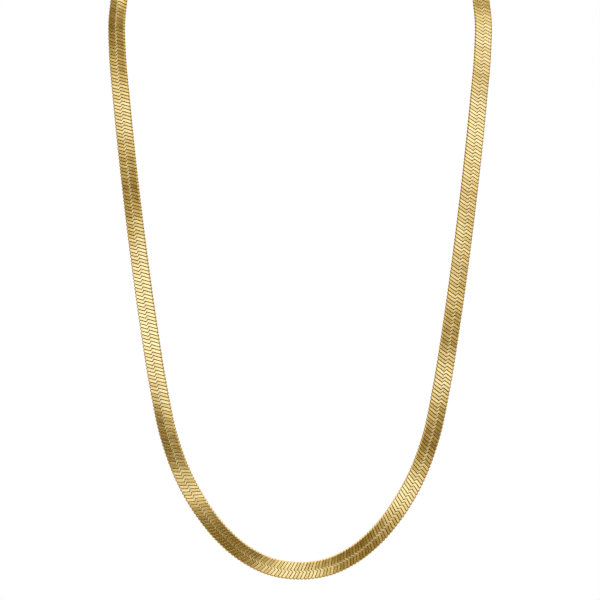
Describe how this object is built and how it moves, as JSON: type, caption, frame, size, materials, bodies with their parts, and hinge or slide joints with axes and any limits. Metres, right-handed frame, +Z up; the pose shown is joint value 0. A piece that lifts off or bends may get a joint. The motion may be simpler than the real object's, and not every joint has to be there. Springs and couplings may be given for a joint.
{
  "type": "herringbone chain necklace",
  "caption": "Flat gold-coloured herringbone chain necklace in its worn shape, with crimped end caps, jump rings and a plain lobster-shaped clasp at the nape.",
  "frame": {"origin": "the middle of the neck at the level of the shoulder ridges, where the necklace sits when worn", "axes": "+Z up along the neck, -Y towards the front of the wearer, so the lowest point of the loop is at -Y and the clasp at +Y; +X to the right seen from the front"},
  "size_m": [0.11, 0.1462, 0.189],
  "materials": {
    "woven_gold": "polished, gold plated, flat woven links",
    "cap_gold": "polished, gold plated",
    "ring_gold": "polished, gold plated wire",
    "clasp_gold": "polished, gold plated casting"
  },
  "bodies": {
    "root": {"chain": "woven_gold", "end_cap_left": "cap_gold", "end_cap_right": "cap_gold", "jump_ring_left": "ring_gold", "jump_ring_right": "ring_gold", "clasp": "clasp_gold"}
  },
  "joints": []
}
